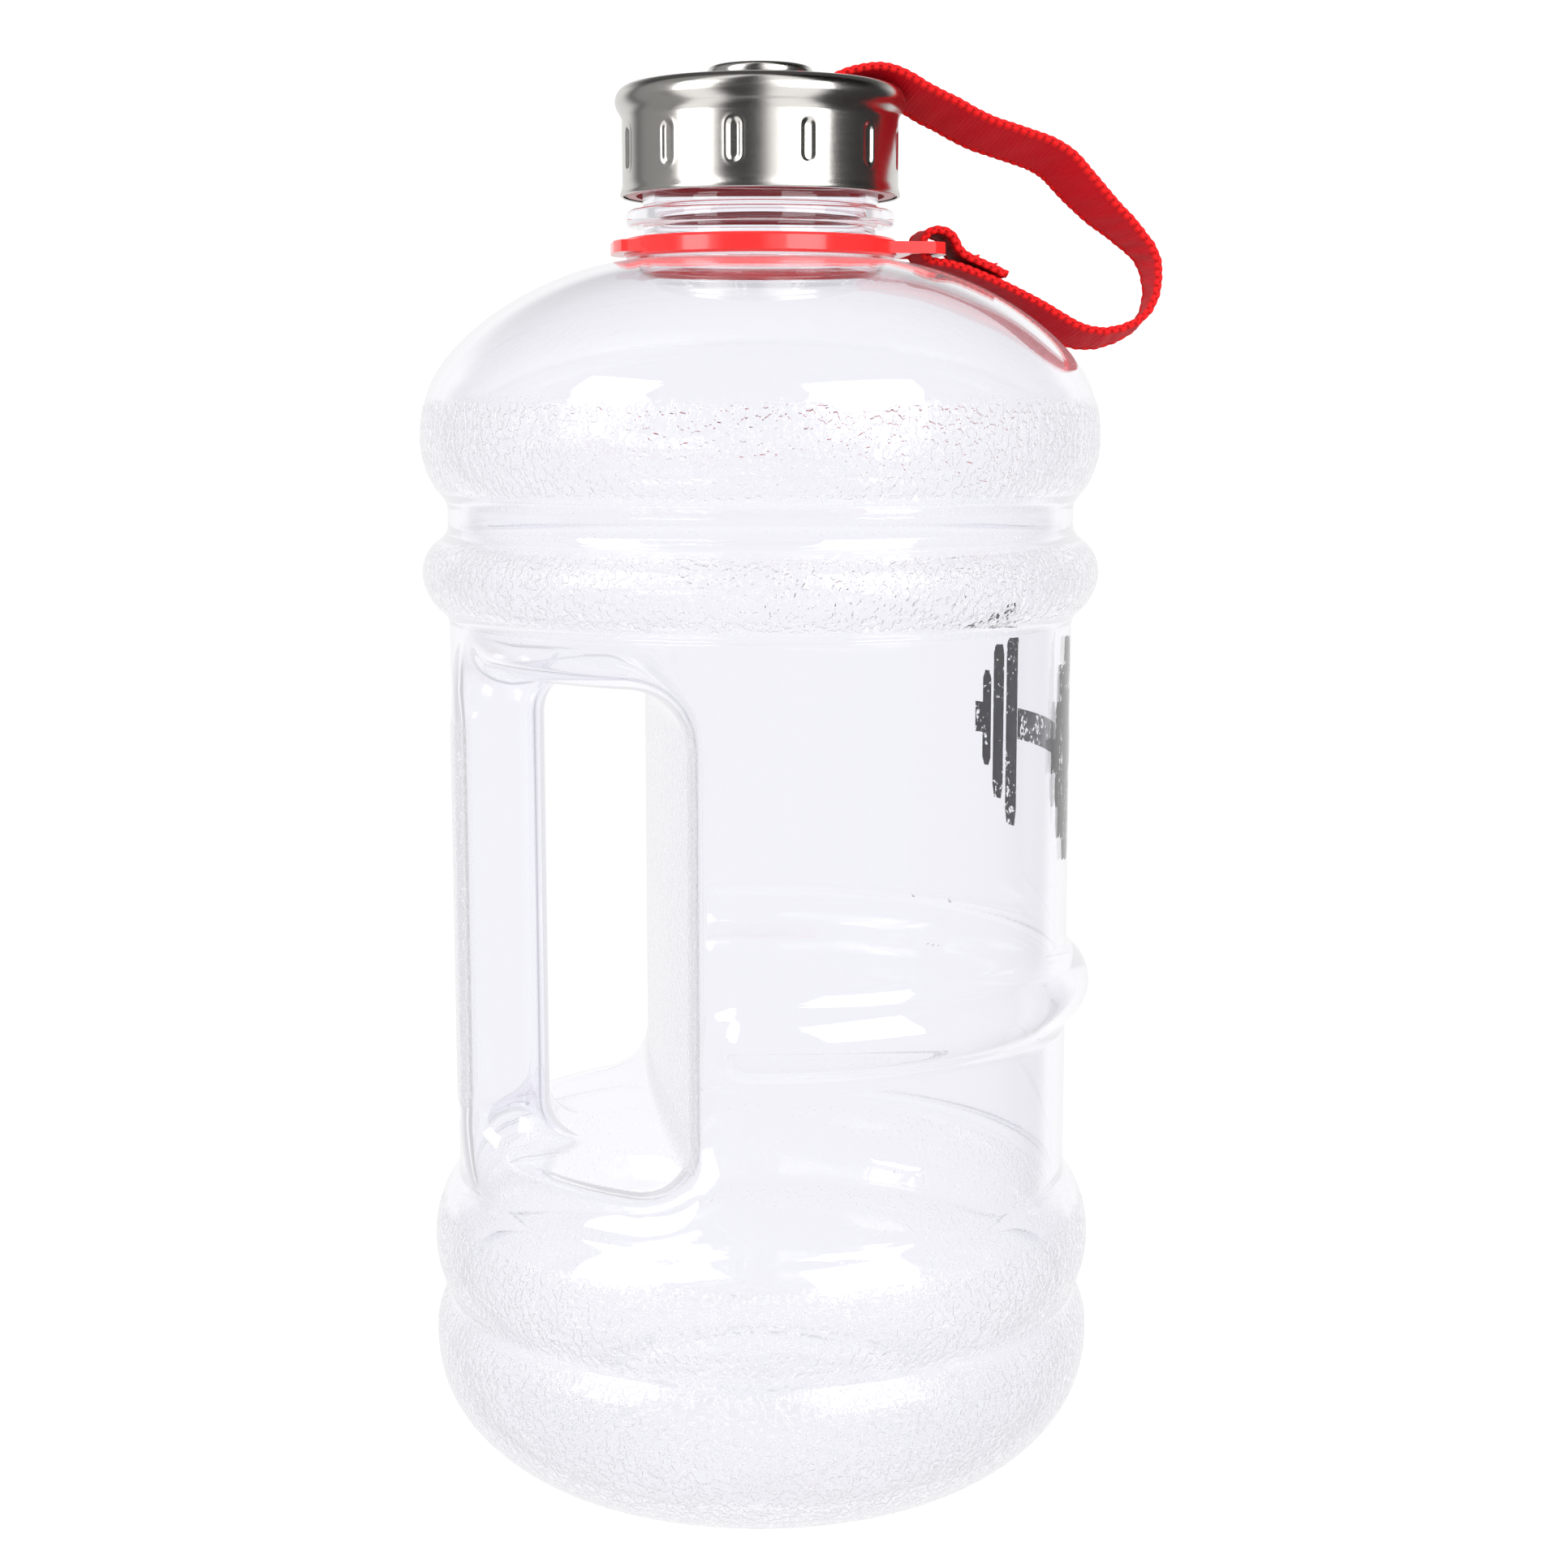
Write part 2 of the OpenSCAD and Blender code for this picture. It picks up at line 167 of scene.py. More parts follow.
class OutlineField:
    """Signed distance to the turned outline, sampled on a fine grid and read back smoothly."""

    def __init__(self):
        self.step, self.r0, self.z0 = 0.5, -3.0, -8.0
        r = np.arange(self.r0, 84, self.step)
        z = np.arange(self.z0, 252, self.step)
        px, pz = np.meshgrid(np.abs(r), z, indexing="ij")
        line = jug_outline()
        best = np.full(px.shape, 1e9)
        inside = np.zeros(px.shape, bool)
        for (x1, y1), (x2, y2) in zip(line, np.roll(line, -1, axis=0)):
            dx, dy = x2 - x1, y2 - y1
            if x1 > 0 or x2 > 0:
                t = np.clip(((px - x1) * dx + (pz - y1) * dy) / (dx * dx + dy * dy + 1e-12), 0, 1)
                best = np.minimum(best, (px - x1 - t * dx) ** 2 + (pz - y1 - t * dy) ** 2)
            if y1 != y2:
                cross = ((y1 > pz) != (y2 > pz)) & (px < (x2 - x1) * (pz - y1) / (y2 - y1) + x1)
                inside ^= cross
        d = np.sqrt(best)
        table = np.where(inside, -d, d)
        soft = np.exp(-0.5 * (np.arange(-4, 5) * self.step / 0.8) ** 2)
        for axis in (0, 1):
            table = sum(w * np.roll(table, k - 4, axis) for k, w in enumerate(soft / soft.sum()))
        self.table = table.astype(np.float32)

    def __call__(self, r, z):
        a = np.clip((r - self.r0) / self.step, 1, self.table.shape[0] - 3.001)
        b = np.clip((z - self.z0) / self.step, 1, self.table.shape[1] - 3.001)
        i, j = a.astype(np.int32), b.astype(np.int32)
        s, t = (a - i).astype(np.float32), (b - j).astype(np.float32)

        def weights(u):
            return ((1 - u) ** 3 / 6, (3 * u ** 3 - 6 * u ** 2 + 4) / 6,
                    (-3 * u ** 3 + 3 * u ** 2 + 3 * u + 1) / 6, u ** 3 / 6)
        ws, wt = weights(s), weights(t)
        out = 0
        for m in range(4):
            for n in range(4):
                out = out + ws[m] * wt[n] * self.table[i + m - 1, j + n - 1]
        return out


def both_round(a, b, k):
    """Where two solids overlap, with their shared outer edge rounded to radius k."""
    u, v = np.maximum(a + k, 0), np.maximum(b + k, 0)
    return np.minimum(np.maximum(a, b), -k) + np.sqrt(u * u + v * v)


def either_round(a, b, k):
    """Two solids joined, with a fillet of radius k where they meet."""
    u, v = np.maximum(k - a, 0), np.maximum(k - b, 0)
    return np.maximum(np.minimum(a, b), k) - np.sqrt(u * u + v * v)


outline = OutlineField()


def recess_wall(x, y):
    """Distance from the bowed wall of the hand recess, negative on the body's side of it."""
    return np.hypot(x - (BOW_R - RECESS_X), y) - BOW_R


def jug_field(x, y, z):
    """Signed distance, in mm, to the outside of the jug below the neck. Negative is inside."""
    r = np.sqrt(x * x + y * y)
    body = outline(r, z)
    # the rib opposite the grip: a bent round bar with round ends
    end_x, end_y = RIB_MID_R * math.cos(RIB_END), RIB_MID_R * math.sin(RIB_END)
    bar = np.where(np.arctan2(np.abs(y), x) < RIB_END,
                   np.hypot(r - RIB_MID_R, z - RIB_Z),
                   np.sqrt((x - end_x) ** 2 + (np.abs(y) - end_y) ** 2 + (z - RIB_Z) ** 2)) - RIB_THICK
    body = either_round(body, bar, 2.4)
    # the hand recess and the grip left standing in it
    slab = np.abs(z - RECESS_MID) - (RECESS_Z1 - RECESS_Z0) / 2
    solid = -both_round(-recess_wall(x, y), slab, 9.0)
    qx = np.abs(x + BODY_R - GRIP_D / 2 + 3.0) - (GRIP_D / 2 + 3.0 - GRIP_CORNER)
    qy = np.abs(y) - (GRIP_W / 2 - GRIP_CORNER)
    grip = (np.sqrt(np.maximum(qx, 0) ** 2 + np.maximum(qy, 0) ** 2)
            + np.minimum(np.maximum(qx, qy), 0) - GRIP_CORNER)
    solid = either_round(solid, grip, 8.0)
    edge = 5.0 + (RIM_R - 5.0) * smoothstep(34, 44, np.abs(z - RECESS_MID))
    return both_round(body, solid, edge)


def band_mask(x, y, z):
    """1 on the grained bands and the base, 0 on the smooth body, the grooves and the shoulder."""
    m = smoothstep(-5, -2, z) * (1 - smoothstep(49.2, 50.8, z))
    m = m * (1 - 0.9 * np.exp(-((z - 32.2) / 1.6) ** 2))
    m = m + smoothstep(167, 168.4, z) * (1 - smoothstep(179, 180.4, z))
    m = m + smoothstep(189.4, 190.8, z) * (1 - smoothstep(205.9, 206.4, z))
    r = np.hypot(x, y)
    return m * smoothstep(57.5, 59.5, r + 30 * (1 - smoothstep(20, 26, z)))


def frost_mask(x, y, z):
    """The fine texture of the recess wall and of the outside of the grip."""
    wall = (np.abs(recess_wall(x, y)) < 2.2) & (np.abs(y) < 54)
    wall = wall * smoothstep(41, 37, np.abs(z - RECESS_MID))
    pad = smoothstep(-58.9, -59.6, x) * smoothstep(11.5, 10.5, np.abs(y))
    pad = pad * smoothstep(38, 37, np.abs(z - 108.5))
    return np.clip(wall + pad, 0, 1), pad


# ------------------------------------------------------------------ the jug's mesh
def march(field, h, lo, hi):
    """A closed sheet of quads round field < 0, one vertex a cell, on a grid of step h."""
    ax = [np.arange(a, b + h * 0.5, h, dtype=np.float32) for a, b in zip(lo, hi)]
    nx, ny, nz = map(len, ax)
    f = np.empty((nx, ny, nz), np.float32)
    yy, zz = np.meshgrid(ax[1], ax[2], indexing="ij")
    for i, xv in enumerate(ax[0]):
        f[i] = field(np.full_like(yy, xv), yy, zz)
    s = f < 0
    count = sum(s[a:nx - 1 + a, b:ny - 1 + b, c:nz - 1 + c].astype(np.int8)
                for a in (0, 1) for b in (0, 1) for c in (0, 1))
    cells = np.argwhere((count > 0) & (count < 8))
    index = np.full((nx - 1, ny - 1, nz - 1), -1, np.int32)
    index[tuple(cells.T)] = np.arange(len(cells))
    corners = {(a, b, c): f[cells[:, 0] + a, cells[:, 1] + b, cells[:, 2] + c]
               for a in (0, 1) for b in (0, 1) for c in (0, 1)}
    total, hits = np.zeros((len(cells), 3)), np.zeros(len(cells))
    for p in corners:
        for axis in range(3):
            if p[axis]:
                continue
            q = tuple(1 if k == axis else p[k] for k in range(3))
            f0, f1 = corners[p], corners[q]
            cut = (f0 < 0) != (f1 < 0)
            t = np.where(cut, f0 / np.where(cut, f0 - f1, 1), 0)
            pos = np.array(p, float)[None, :] + t[:, None] * (np.arange(3) == axis)
            total[cut] += pos[cut]
            hits += cut
    verts = np.array(lo) + (cells + total / hits[:, None]) * h
    quads = []
    for axis in range(3):
        b, c = (axis + 1) % 3, (axis + 2) % 3
        sl0, sl1 = [slice(1, -1)] * 3, [slice(1, -1)] * 3
        sl0[axis], sl1[axis] = slice(0, -1), slice(1, None)
        s0, s1 = s[tuple(sl0)], s[tuple(sl1)]
        at = np.argwhere(s0 != s1)
        out = s0[tuple(at.T)]
        at[:, b] += 1
        at[:, c] += 1

        def cell(db, dc):
            k = at.copy()
            k[:, b] += db
            k[:, c] += dc
            return index[tuple(k.T)]
        ring = np.stack([cell(-1, -1), cell(0, -1), cell(0, 0), cell(-1, 0)], 1)
        quads.append(np.where(out[:, None], ring, ring[:, ::-1]))
    quads = np.concatenate(quads)
    return verts, quads[(quads >= 0).all(1)]


def field_slope(points, e=0.06):
    """The field's slope at each point, measured over a distance e each way."""
    x, y, z = points.T
    return np.stack([jug_field(x + e, y, z) - jug_field(x - e, y, z),
                     jug_field(x, y + e, z) - jug_field(x, y - e, z),
                     jug_field(x, y, z + e) - jug_field(x, y, z - e)], 1) / (2 * e)


def settle(points, target, rounds=4):
    """Moves points along the field's slope until the field there is target."""
    p = points.copy()
    for _ in range(rounds):
        g = field_slope(p)
        f = jug_field(*p.T) - target
        move = g * (f / np.maximum((g * g).sum(1), 0.3))[:, None]
        size = np.linalg.norm(move, axis=1, keepdims=True)
        p -= move * np.minimum(1, 0.6 / np.maximum(size, 1e-9))
    return p


def open_loops(quads):
    """The mesh's open edges, walked into loops of vertex numbers."""
    e = np.concatenate([quads[:, [0, 1]], quads[:, [1, 2]], quads[:, [2, 3]], quads[:, [3, 0]]])
    n = int(quads.max()) + 1
    code = e[:, 0].astype(np.int64) * n + e[:, 1]
    back = e[:, 1].astype(np.int64) * n + e[:, 0]
    free = e[~np.isin(code, back)]
    follow = {int(a): int(b) for a, b in free}
    loops = []
    while follow:
        start = next(iter(follow))
        loop, at = [], start
        while at in follow:
            loop.append(at)
            at = follow.pop(at)
        loops.append(loop)
    return loops


def zip_rings(a, b, where):
    """Triangles between two rings of vertices round the Z axis, both running anticlockwise."""
    def turned(ring):
        ang = np.unwrap(np.arctan2(where[ring, 1], where[ring, 0]))
        if ang[-1] < ang[0]:
            ring = ring[::-1]
            ang = np.unwrap(np.arctan2(where[ring, 1], where[ring, 0]))
        k = int(np.argmin(np.mod(ang, 2 * math.pi)))
        ring = ring[k:] + ring[:k]
        ang = np.unwrap(np.arctan2(where[ring, 1], where[ring, 0]))
        ang = ang - 2 * math.pi * np.floor(ang[0] / (2 * math.pi))
        return ring + [ring[0]], np.append(ang, ang[0] + 2 * math.pi)
    (a, fa), (b, fb) = turned(list(a)), turned(list(b))
    i = j = 0
    out = []
    while i < len(a) - 1 or j < len(b) - 1:
        if j == len(b) - 1 or (i < len(a) - 1 and fa[i + 1] <= fb[j + 1]):
            out.append((a[i], a[i + 1], b[j]))
            i += 1
        else:
            out.append((a[i], b[j + 1], b[j]))
            j += 1
    return out


def neck_rows(cut_z):
    """The neck as rings from the cut up the outside, over the rim and down the inside."""
    n = 240
    flange = [(22.2, cut_z + 0.5), (22.2, 237.5), (22.2, 238.8), (22.35, 239.1), (22.7, 239.2),
              (24, 239.25), (25.1, 239.3), (25.4, 239.6), (25.5, 240.2), (25.5, 241.4), (25.35, 241.9),
              (25, 242.2), (24.2, 242.3), (22.9, 242.4), (22.5, 242.7), (NECK_R, 243.2), (NECK_R, 245)]
    threaded = [(NECK_R, 245 + 0.4 * i) for i in range(1, 36)] + [(NECK_R, 259.8)]
    mouth = [(22.2, 260.2), (21.8, 260.45), (21.3, 260.5), (20.8, 260.5), (20.4, 260.3), (MOUTH_R, 259.9),
             (MOUTH_R, 255), (MOUTH_R, 250), (MOUTH_R, 245), (MOUTH_R, 240), (MOUTH_R, cut_z + 0.5)]
    turn = np.linspace(0, 360, n, endpoint=False)
    rows = []
    for k, (r, z) in enumerate(flange + threaded + mouth):
        radius = np.full(n, float(r))
        if len(flange) <= k < len(flange) + len(threaded):
            for lap in range(-1, 4):
                mid = 247.5 + PITCH * (turn / 360 + lap)
                fade = smoothstep(247.2, 248.6, mid) * (1 - smoothstep(255.2, 256.6, mid))
                radius += fade * np.clip(1.25 - np.abs(z - mid) * 1.25, 0, 1.0)
        rows.append(ring_points(radius, z, np.radians(turn)))
    return rows, n


def make_jug():
    """The jug as one thin shell: a grid mesh of the field up to the cut, and the neck on top."""
    cell, cut_z = 1.0, 235.9
    low, high = (-67.3, -67.3, -1.2), (67.3, 67.3, cut_z)
    verts, quads = march(lambda x, y, z: np.abs(jug_field(x, y, z) + WALL / 2) - WALL / 2, cell, low, high)
    f = jug_field(*verts.T)
    outside = f > -WALL / 2
    grain = band_mask(*verts.T)
    frost, pad = frost_mask(*verts.T)
    turn = np.arctan2(verts[:, 1], verts[:, 0]) * np.hypot(verts[:, 0], verts[:, 1])
    rough = wobble(turn * 2.1, verts[:, 2] * 1.1, 0.4) * grain * 0.03
    target = np.where(outside, rough + pad * 0.3, -WALL)
    verts = settle(verts, target)
    loops = open_loops(quads)
    loops = sorted((q for q in loops if len(q) > 60), key=lambda q: np.hypot(*verts[q][:, :2].T).mean())
    rows, n = neck_rows(cut_z)
    base = len(verts)
    allv = np.concatenate([verts] + rows)
    faces = [tuple(q) for q in quads.tolist()]
    faces += grid_faces(len(rows), n, base, True)
    first = list(range(base, base + n))
    last = list(range(base + n * (len(rows) - 1), base + n * len(rows)))
    inner, outer = loops[0], loops[-1]
    faces += zip_rings(outer, first, allv)
    faces += [t[::-1] for t in zip_rings(inner, last, allv)]
    ob = new_mesh("jug_shell", allv, faces)
    normals = np.zeros(3 * len(allv), np.float32)
    ob.data.vertices.foreach_get("normal", normals)
    normals = normals.reshape(-1, 3)
    slope = field_slope(verts)
    slope /= np.maximum(np.linalg.norm(slope, axis=1, keepdims=True), 1e-6)
    normals[:base] = np.where(outside[:, None], slope, -slope)
    ob.data.normals_split_custom_set_from_vertices(normals.tolist())
    extra = np.zeros(n * len(rows))
    point_attribute(ob, "grain", np.concatenate([grain * outside, extra]))
    point_attribute(ob, "frost", np.concatenate([frost * outside, extra]))
    return ob


# ------------------------------------------------------------------ materials
def feed(tree, socket, value):
    """Links a socket to another node's output, or sets it to a constant."""
    if isinstance(value, bpy.types.NodeSocket):
        tree.links.new(value, socket)
    else:
        socket.default_value = value


def set_up(tree, shader, sockets):
    """Feeds a node's inputs. sockets maps their names or numbers to constants or to outputs."""
    for key, value in sockets.items():
        feed(tree, shader.inputs[key], value)


def node(tree, kind, sockets=None, **options):
    new = tree.nodes.new(kind)
    for key, value in options.items():
        setattr(new, key, value)
    set_up(tree, new, sockets or {})
    return new


def math_node(tree, operation, *values):
    return node(tree, "ShaderNodeMath", dict(enumerate(values)), operation=operation).outputs[0]


def plus(tree, a, b):
    return math_node(tree, "ADD", a, b)


def times(tree, a, b):
    return math_node(tree, "MULTIPLY", a, b)


def either(tree, a, b):
    return math_node(tree, "MAXIMUM", a, b)


def map_range(tree, value, a, b, low=0.0, top=1.0, kind="LINEAR"):
    """low where value is a or less, top where it is b or more."""
    sockets = {"Value": value, "From Min": a, "From Max": b, "To Min": low, "To Max": top}
    return node(tree, "ShaderNodeMapRange", sockets, interpolation_type=kind).outputs["Result"]


def noise(tree, vector, scale, **sockets):
    return node(tree, "ShaderNodeTexNoise", {"Vector": vector, "Scale": scale, **sockets}).outputs["Fac"]


def stretch(tree, vector, scale):
    return node(tree, "ShaderNodeMapping", {"Vector": vector, "Scale": scale}).outputs["Vector"]


def attribute(tree, name):
    return node(tree, "ShaderNodeAttribute", attribute_name=name).outputs["Fac"]


def bumped(tree, height, strength, distance):
    sockets = {"Height": height, "Strength": strength, "Distance": distance}
    return node(tree, "ShaderNodeBump", sockets).outputs["Normal"]


def mix_colour(tree, share, first, second, blend="MIX"):
    sockets = {0: share, 6: first, 7: second}
    return node(tree, "ShaderNodeMix", sockets, data_type="RGBA", blend_type=blend).outputs[2]


def mix_shader(tree, share, first, second):
    return node(tree, "ShaderNodeMixShader", {"Fac": share, 1: first, 2: second}).outputs["Shader"]


def material(name):
    """A new material, its node tree and its Principled shader."""
    m = bpy.data.materials.new(name)
    m.use_nodes = True
    return m, m.node_tree, m.node_tree.nodes["Principled BSDF"]


def show(tree, shader):
    """Makes this shader the material's surface."""
    tree.links.new(shader, tree.nodes["Material Output"].inputs["Surface"])


def clear_plastic():
    """Clear moulded plastic, rough where the mesh's grain and frost attributes say."""
    tint = (0.96, 0.958, 0.988, 1)
    m, tree, bsdf = material("clear_plastic")
    path = node(tree, "ShaderNodeLightPath").outputs
    place = node(tree, "ShaderNodeTexCoord").outputs["Object"]
    coarse = noise(tree, stretch(tree, place, (1, 1, 0.85)), 820, Detail=1, Distortion=0.4)
    fine = noise(tree, place, 1500, Detail=1)
    frost = attribute(tree, "frost")
    rough_parts = plus(tree, attribute(tree, "grain"), times(tree, frost, 0.8))
    high = times(tree, map_range(tree, coarse, 0.44, 0.62, kind="SMOOTHSTEP"), rough_parts)
    low = times(tree, times(tree, fine, frost), 1.1)
    # grain on the far wall, seen through the near one, is faint
    near = math_node(tree, "LESS_THAN", path["Transmission Depth"], 1.5)
    seen = plus(tree, times(tree, near, 0.75), 0.25)
    height = times(tree, plus(tree, high, low), seen)
    set_up(tree, bsdf, {"Base Color": tint, "Roughness": 0.0, "IOR": 1.5, "Transmission Weight": 1,
                        "Normal": bumped(tree, height, 1.0, 0.00028)})
    # painted glow: light that has bounced about inside the wall for long is replaced by an even pale grey
    # glow
    painted_glow = node(tree, "ShaderNodeEmission", {"Color": tint, "Strength": 0.84}).outputs["Emission"]
    spent = either(tree, math_node(tree, "GREATER_THAN", path["Ray Depth"], 9.5),
                   math_node(tree, "GREATER_THAN", path["Glossy Depth"], 2.5))
    deep = mix_shader(tree, spent, bsdf.outputs["BSDF"], painted_glow)
    # the shadow lets nearly all the light through
    clear = node(tree, "ShaderNodeBsdfTransparent", {"Color": (0.97, 0.965, 0.98, 1)}).outputs["BSDF"]
    show(tree, mix_shader(tree, path["Is Shadow Ray"], deep, clear))
    return m


def brushed_steel():
    """Steel brushed round the Z axis, with gloss that varies from line to line."""
    m, tree, bsdf = material("brushed_steel")
    uv = node(tree, "ShaderNodeTexCoord").outputs["UV"]
    lines = noise(tree, stretch(tree, uv, (0.35, 60, 1)), 60, Detail=3)
    tangent = node(tree, "ShaderNodeTangent", direction_type="RADIAL", axis="Z").outputs["Tangent"]
    set_up(tree, bsdf, {"Metallic": 1, "Base Color": (0.64, 0.62, 0.59, 1), "Anisotropic": 0.6,
                        "Roughness": map_range(tree, lines, 0.25, 0.75, 0.10, 0.24),
                        "Normal": bumped(tree, lines, 0.12, 0.00003), "Tangent": tangent})
    return m


def plastic(name, colour, rough, spread=0.0, coat=0.0):
    """Solid moulded plastic or thread. spread: how much light scatters under its surface."""
    m, tree, bsdf = material(name)
    place = node(tree, "ShaderNodeTexCoord").outputs["Object"]
    darker = (*[c * 0.93 for c in colour], 1)
    mottled = mix_colour(tree, noise(tree, place, 90, Detail=4), darker, (*colour, 1))
    set_up(tree, bsdf, {"Base Color": mottled, "Roughness": rough, "Coat Weight": coat,
                        "Normal": bumped(tree, noise(tree, place, 900), 0.25, 0.00001)})
    if spread:
        set_up(tree, bsdf, {"Subsurface Weight": spread, "Subsurface Scale": 0.003,
                            "Subsurface Radius": (1.0, 0.25, 0.2)})
    return m


def webbing_cloth():
    """Ribbed red webbing. UV x runs along the strap in millimetres / 100, UV y across it from 0 to 1."""
    rib_gap, yarns = 0.55, 17
    m, tree, bsdf = material("webbing")
    place = node(tree, "ShaderNodeTexCoord").outputs
    along, across, _ = node(tree, "ShaderNodeSeparateXYZ", {0: place["UV"]}).outputs
    sway = times(tree, noise(tree, place["Object"], 420, Detail=2), 5.0)
    rib = math_node(tree, "SINE", plus(tree, times(tree, along, 2 * math.pi * 100 / rib_gap), sway))
    yarn = math_node(tree, "SINE", times(tree, across, 2 * math.pi * yarns))
    weave = plus(tree, times(tree, rib, 0.5), times(tree, yarn, 0.18))
    # painted highlight and shade: the rolled edges are painted lighter than the face, with painted shade in
    # the gaps between their beads
    shade = mix_colour(tree, attribute(tree, "edge"), (0.60, 0.002, 0.012, 1), (0.80, 0.012, 0.014, 1))
    bead_gap_shade = math_node(tree, "SUBTRACT", 1.0, times(tree, attribute(tree, "gap"), 0.5))
    level = times(tree, map_range(tree, weave, -0.7, 0.7, 0.84, 1.0), bead_gap_shade)
    grey = node(tree, "ShaderNodeCombineColor", {0: level, 1: level, 2: level}).outputs["Color"]
    cloth = mix_colour(tree, 1, shade, grey, "MULTIPLY")
    spots = times(tree, attribute(tree, "print"), 0.85)
    set_up(tree, bsdf, {"Base Color": mix_colour(tree, spots, cloth, (0.05, 0.015, 0.018, 1)),
                        "Roughness": 0.7, "Specular IOR Level": 0.12,
                        "Normal": bumped(tree, weave, 0.5, 0.00005)})
    return m


def print_ink():
    """Worn black ink, missing where the sum of two sizes of noise is low."""
    m, tree, bsdf = material("print_ink")
    place = node(tree, "ShaderNodeTexCoord").outputs["Object"]
    worn = noise(tree, place, 950, Detail=4, Roughness=0.65)
    patchy = noise(tree, place, 160, Detail=2)
    cover = map_range(tree, plus(tree, worn, times(tree, patchy, 0.8)), 0.74, 0.79)
    set_up(tree, bsdf, {"Base Color": (0.012, 0.012, 0.014, 1), "Roughness": 0.5, "Alpha": cover})
    return m


def floor_finish():
    """White to the camera, matt to other rays, and left out of mirror reflections."""
    m, tree, bsdf = material("floor")
    path = node(tree, "ShaderNodeLightPath").outputs
    place = node(tree, "ShaderNodeTexCoord").outputs["Object"]
    away = node(tree, "ShaderNodeVectorMath", {0: place}, operation="LENGTH").outputs["Value"]
    # painted contact shadow: seen through the jug, the floor is painted a little darker close to its foot
    shade = map_range(tree, away, 0.03, 0.5, 0.63, 0.785, "SMOOTHSTEP")
    set_up(tree, bsdf, {"Base Color": shade, "Roughness": 0.9, "Specular IOR Level": 0.0})
    glow = node(tree, "ShaderNodeEmission", {"Strength": 1.05}).outputs["Emission"]
    lit = mix_shader(tree, path["Is Camera Ray"], bsdf.outputs["BSDF"], glow)
    clear = node(tree, "ShaderNodeBsdfTransparent").outputs["BSDF"]
    show(tree, mix_shader(tree, path["Is Glossy Ray"], lit, clear))
    return m


# ------------------------------------------------------------------ camera
cam_data = bpy.data.cameras.new("camera")
cam = bpy.data.objects.new("camera", cam_data)
bpy.context.scene.collection.objects.link(cam)
cam_data.sensor_width = 36
cam_data.lens = 57.95
cam_data.clip_start = 0.01
cam.location = (-0.05544, -0.48849, 0.2062)
cam.rotation_euler = (math.radians(90 - 8.58), 0, math.radians(-7.0))
bpy.context.scene.camera = cam
bpy.context.scene.view_settings.view_transform = "Standard"

# ------------------------------------------------------------------ strap
# Centre line of the webbing in X and Z, as in the CAD but with fewer points under the button
STRAP = [
    (-8.5, STRAP_Z), (-4, STRAP_Z), (0, STRAP_Z), (4, STRAP_Z), (7, STRAP_Z), (10, 265.45), (12.5, 266.2),
    (15.5, 267.4), (18.5, 268.1), (21.5, 268.4), (23.7, 268.1), (25.8, 267.4), (28.2, 266.2), (30.5, 264.8),
    (33.5, 263.3), (36.4, 262), (40, 260.1), (43.4, 258.6), (47.3, 257.4), (51.2, 256.2), (55, 254.9),
    (58, 253.2), (60, 251.5), (61.7, 249.6), (64.5, 246.6), (67.5, 243.4), (70.5, 240.6), (73, 237.8),
    (74.6, 235.9), (75.6, 234), (76.1, 232.2), (76.2, 230.5), (76.2, 228.5), (75.8, 226.5), (75.1, 224.6),
    (74, 223), (72.4, 221.6), (70.3, 220.6), (68, 219.9), (65.4, 219.6), (63.3, 219.8), (61.4, 220.3),
    (59.4, 221.2), (57.3, 222.4), (53.5, 224.7), (49.1, 227), (45.1, 228.9), (41.5, 230.4), (38.3, 231.6),
    (36.2, 232.2), (34.2, 232.6), (32.4, 232.8), (31.1, 233.3), (30.4, 234.4), (30.3, 235.6), (30.4, 236.8),
    (31, 237.9), (32.1, 238.6), (33.6, 238.7), (35.2, 238.2), (36.4, 237), (37, 235.6), (37.9, 234.5),
    (39.2, 233.7), (41.5, 232.7), (44, 231.6), (46.5, 230.4)]


def smooth_path(points, step):
    """A curve through the points, cut at even steps."""
    p = np.array(points, float)
    q = np.concatenate([[2 * p[0] - p[1]], p, [2 * p[-1] - p[-2]]])
    t = np.linspace(0, 1, 24, endpoint=False)[:, None]
    out = []
    for i in range(1, len(q) - 2):
        a, b, c, d = q[i - 1], q[i], q[i + 1], q[i + 2]
        out.append(0.5 * (2 * b + (c - a) * t + (2 * a - 5 * b + 4 * c - d) * t ** 2
                          + (3 * b - a - 3 * c + d) * t ** 3))
    out = np.concatenate(out + [p[-1:]])
    far = path_length(out)
    s = np.linspace(0, far[-1], int(round(far[-1] / step)) + 1)
    res = np.stack([np.interp(s, far, out[:, k]) for k in range(2)], 1)
    for _ in range(6):
        res[1:-1] = 0.25 * res[:-2] + 0.5 * res[1:-1] + 0.25 * res[2:]
    return res, s


